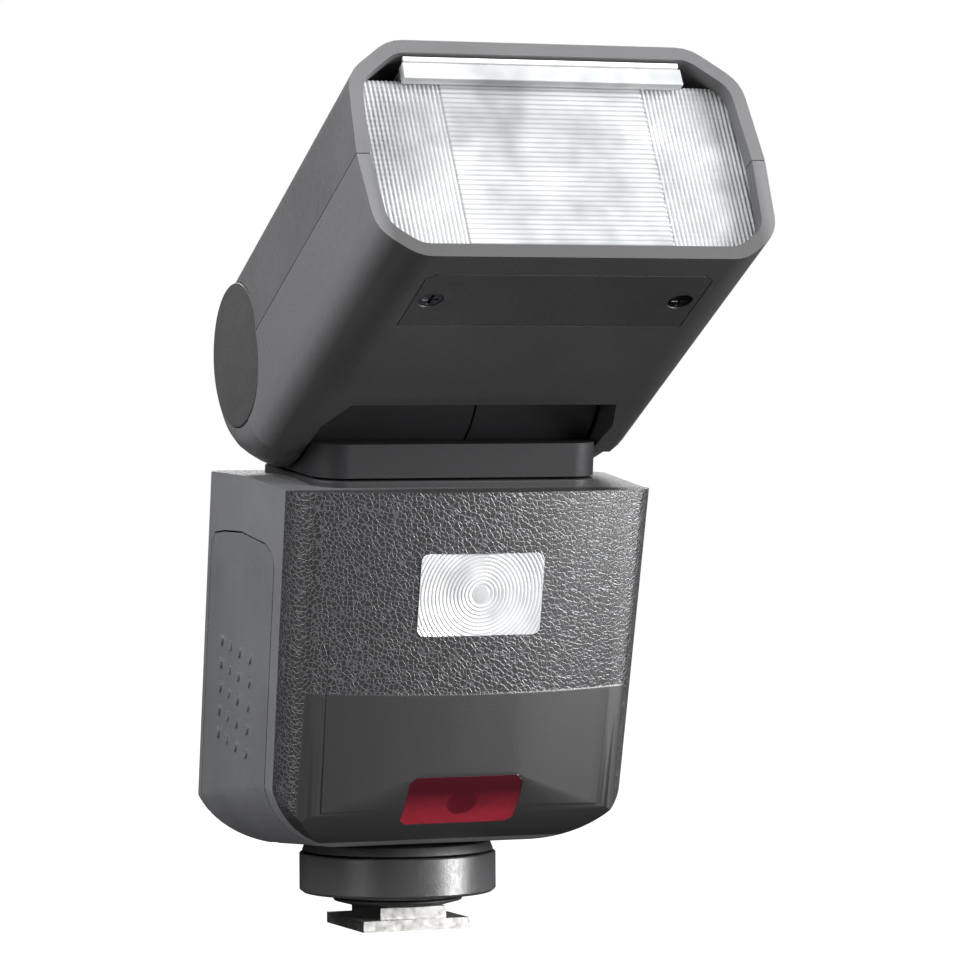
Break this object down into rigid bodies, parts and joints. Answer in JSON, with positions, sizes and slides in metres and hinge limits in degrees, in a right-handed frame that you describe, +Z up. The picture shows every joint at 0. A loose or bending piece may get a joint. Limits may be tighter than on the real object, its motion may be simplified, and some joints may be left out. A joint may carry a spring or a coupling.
{
  "type": "speedlight flash",
  "caption": "Camera-top speedlight with a locking shoe foot, leaning body with modelling light, turning collar and tilting zoom head with pull-out panel and card.",
  "frame": {"origin": "middle of the underside of the shoe foot", "axes": "+Z up out of the camera shoe, -Y the way the head and modelling light face, X across the foot; the body leans 12.2 degrees towards -Y"},
  "size_m": [0.0666, 0.1014, 0.1409],
  "materials": {
    "front_shell": "fine satin grain",
    "rear_shell": "fine satin grain",
    "front_panel": "leather grain with a smooth lower field",
    "deck_pedestal": "satin",
    "modelling_lens": "clear ringed lens",
    "modelling_led_board": "white board with a phosphor emitter",
    "af_window": "dark red translucent",
    "af_emitter": "matte",
    "main_frame": "matte",
    "main_board": "solder mask",
    "power_board": "solder mask",
    "main_capacitor": "sleeved can",
    "transformer": "wound copper",
    "battery_pack": "wrapped cells",
    "battery_contacts": "plated",
    "display_module": "matte",
    "display_glass": "dark glass",
    "usb_socket": "drawn",
    "sync_socket": "matte",
    "body_screws": "black zinc",
    "shoe_barrel": "satin black",
    "foot_plate": "bright nickel",
    "contact_block": "matte",
    "lock_ring": "satin band",
    "lock_pin": "ground",
    "contact_pins": "gold plated",
    "door_slider": "stamped",
    "battery_door": "fine satin grain",
    "port_cover": "matte",
    "select_dial": "satin",
    "set_button": "satin",
    "key_left": "satin",
    "key_right": "satin",
    "test_button": "translucent",
    "power_switch": "satin",
    "swivel_collar": "fine satin grain",
    "drum_left": "satin",
    "drum_right": "satin",
    "swivel_nut": "machined",
    "tilt_axle": "machined",
    "head_upper_shell": "fine satin grain",
    "head_lower_shell": "fine satin grain",
    "hinge_cap_left": "satin",
    "hinge_cap_right": "satin",
    "service_cover": "satin",
    "cover_screws": "black zinc",
    "fresnel_lens": "clear ribbed lens",
    "head_board": "solder mask",
    "zoom_motor": "drawn can",
    "guide_rods": "ground",
    "panel_tray": "matte",
    "zoom_carriage": "matte",
    "reflector": "polished",
    "flash_tube": "clear tube",
    "zoom_screw": "machined",
    "diffuser_panel": "clear ribbed plate",
    "bounce_card": "white"
  },
  "bodies": {
    "flash_body": {"front_shell": "front_shell", "rear_shell": "rear_shell", "front_panel": "front_panel", "deck_pedestal": "deck_pedestal", "modelling_lens": "modelling_lens", "modelling_led_board": "modelling_led_board", "af_window": "af_window", "af_emitter": "af_emitter", "main_frame": "main_frame", "main_board": "main_board", "power_board": "power_board", "main_capacitor": "main_capacitor", "transformer": "transformer", "battery_pack": "battery_pack", "battery_contacts": "battery_contacts", "display_module": "display_module", "display_glass": "display_glass", "usb_socket": "usb_socket", "sync_socket": "sync_socket", "body_screws": "body_screws", "shoe_barrel": "shoe_barrel", "foot_plate": "foot_plate", "contact_block": "contact_block"},
    "ring": {"lock_ring": "lock_ring"},
    "pin": {"lock_pin": "lock_pin"},
    "contacts": {"contact_pins": "contact_pins"},
    "slider": {"door_slider": "door_slider"},
    "door": {"battery_door": "battery_door"},
    "cover": {"port_cover": "port_cover"},
    "dial": {"select_dial": "select_dial"},
    "set_key": {"set_button": "set_button"},
    "left_key": {"key_left": "key_left"},
    "right_key": {"key_right": "key_right"},
    "test_key": {"test_button": "test_button"},
    "switch": {"power_switch": "power_switch"},
    "swivel": {"swivel_collar": "swivel_collar", "drum_left": "drum_left", "drum_right": "drum_right", "swivel_nut": "swivel_nut", "tilt_axle": "tilt_axle"},
    "head": {"head_upper_shell": "head_upper_shell", "head_lower_shell": "head_lower_shell", "hinge_cap_left": "hinge_cap_left", "hinge_cap_right": "hinge_cap_right", "service_cover": "service_cover", "cover_screws": "cover_screws", "fresnel_lens": "fresnel_lens", "head_board": "head_board", "zoom_motor": "zoom_motor", "guide_rods": "guide_rods", "panel_tray": "panel_tray"},
    "carriage": {"zoom_carriage": "zoom_carriage", "reflector": "reflector", "flash_tube": "flash_tube"},
    "screw": {"zoom_screw": "zoom_screw"},
    "wide_panel": {"diffuser_panel": "diffuser_panel"},
    "card": {"bounce_card": "bounce_card"}
  },
  "joints": [
    {"name": "lock_ring_turn", "type": "hinge", "parent": "flash_body", "child": "ring", "pos_m": [0, 0, 0.009], "axis": [0, 0, 1], "range_deg": [0, 90]},
    {"name": "lock_pin_drop", "type": "slide", "parent": "flash_body", "child": "pin", "axis": [0, 0, -1], "range_m": [0, 0.00141]},
    {"name": "contact_press", "type": "slide", "parent": "flash_body", "child": "contacts", "axis": [0, 0, 1], "range_m": [0, 0.0004], "stiffness_N_per_m": 400, "springref_m": -0.0004},
    {"name": "door_slide", "type": "slide", "parent": "flash_body", "child": "slider", "axis": [0, 0.2113, -0.9774], "range_m": [0, 0.003]},
    {"name": "door_swing", "type": "hinge", "parent": "slider", "child": "door", "pos_m": [-0.0189, 0.00094, 0.01487], "axis": [0, -0.998, 0.0628], "range_deg": [0, 80]},
    {"name": "port_cover_swing", "type": "hinge", "parent": "flash_body", "child": "cover", "pos_m": [0.03075, -0.00433, 0.04817], "axis": [0, 0.2113, -0.9774], "range_deg": [0, 100]},
    {"name": "dial_turn", "type": "hinge", "parent": "flash_body", "child": "dial", "pos_m": [0, 0.01516, 0.03397], "axis": [0, 0.9774, 0.2113], "continuous": true},
    {"name": "set_press", "type": "slide", "parent": "flash_body", "child": "set_key", "axis": [0, -0.9774, -0.2113], "range_m": [0, 0.0006], "stiffness_N_per_m": 800, "springref_m": -0.0003},
    {"name": "left_key_press", "type": "slide", "parent": "flash_body", "child": "left_key", "axis": [0, -0.9774, -0.2113], "range_m": [0, 0.0006], "stiffness_N_per_m": 800, "springref_m": -0.0003},
    {"name": "right_key_press", "type": "slide", "parent": "flash_body", "child": "right_key", "axis": [0, -0.9774, -0.2113], "range_m": [0, 0.0006], "stiffness_N_per_m": 800, "springref_m": -0.0003},
    {"name": "test_press", "type": "slide", "parent": "flash_body", "child": "test_key", "axis": [0, -0.9774, -0.2113], "range_m": [0, 0.0006], "stiffness_N_per_m": 800, "springref_m": -0.0003},
    {"name": "switch_slide", "type": "slide", "parent": "flash_body", "child": "switch", "axis": [1, 0, 0], "range_m": [0, 0.0035]},
    {"name": "swivel_turn", "type": "hinge", "parent": "flash_body", "child": "swivel", "pos_m": [0, -0.0155, 0.07585], "axis": [0, -0.0993, 0.9951], "range_deg": [-180, 180]},
    {"name": "head_tilt", "type": "hinge", "parent": "swivel", "child": "head", "pos_m": [0, -0.01557, 0.0943], "axis": [-1, 0, 0], "range_deg": [-28, 62]},
    {"name": "zoom_travel", "type": "slide", "parent": "head", "child": "carriage", "axis": [0, -0.8829, 0.4695], "range_m": [0, 0.015]},
    {"name": "zoom_screw_turn", "type": "hinge", "parent": "head", "child": "screw", "pos_m": [-0.0279, -0.04807, 0.11838], "axis": [0, -0.8829, 0.4695], "range_deg": [0, 541.5]},
    {"name": "wide_panel_slide", "type": "slide", "parent": "head", "child": "wide_panel", "axis": [0, -0.8829, 0.4695], "range_m": [0, 0.036]},
    {"name": "card_slide", "type": "slide", "parent": "head", "child": "card", "axis": [0, -0.8829, 0.4695], "range_m": [0, 0.036]}
  ],
  "couplings": [
    {"joint": "lock_pin_drop", "follows": "lock_ring_turn", "m_per_rad": 0.00089127},
    {"joint": "zoom_screw_turn", "follows": "zoom_travel", "rad_per_m": 628.32}
  ]
}
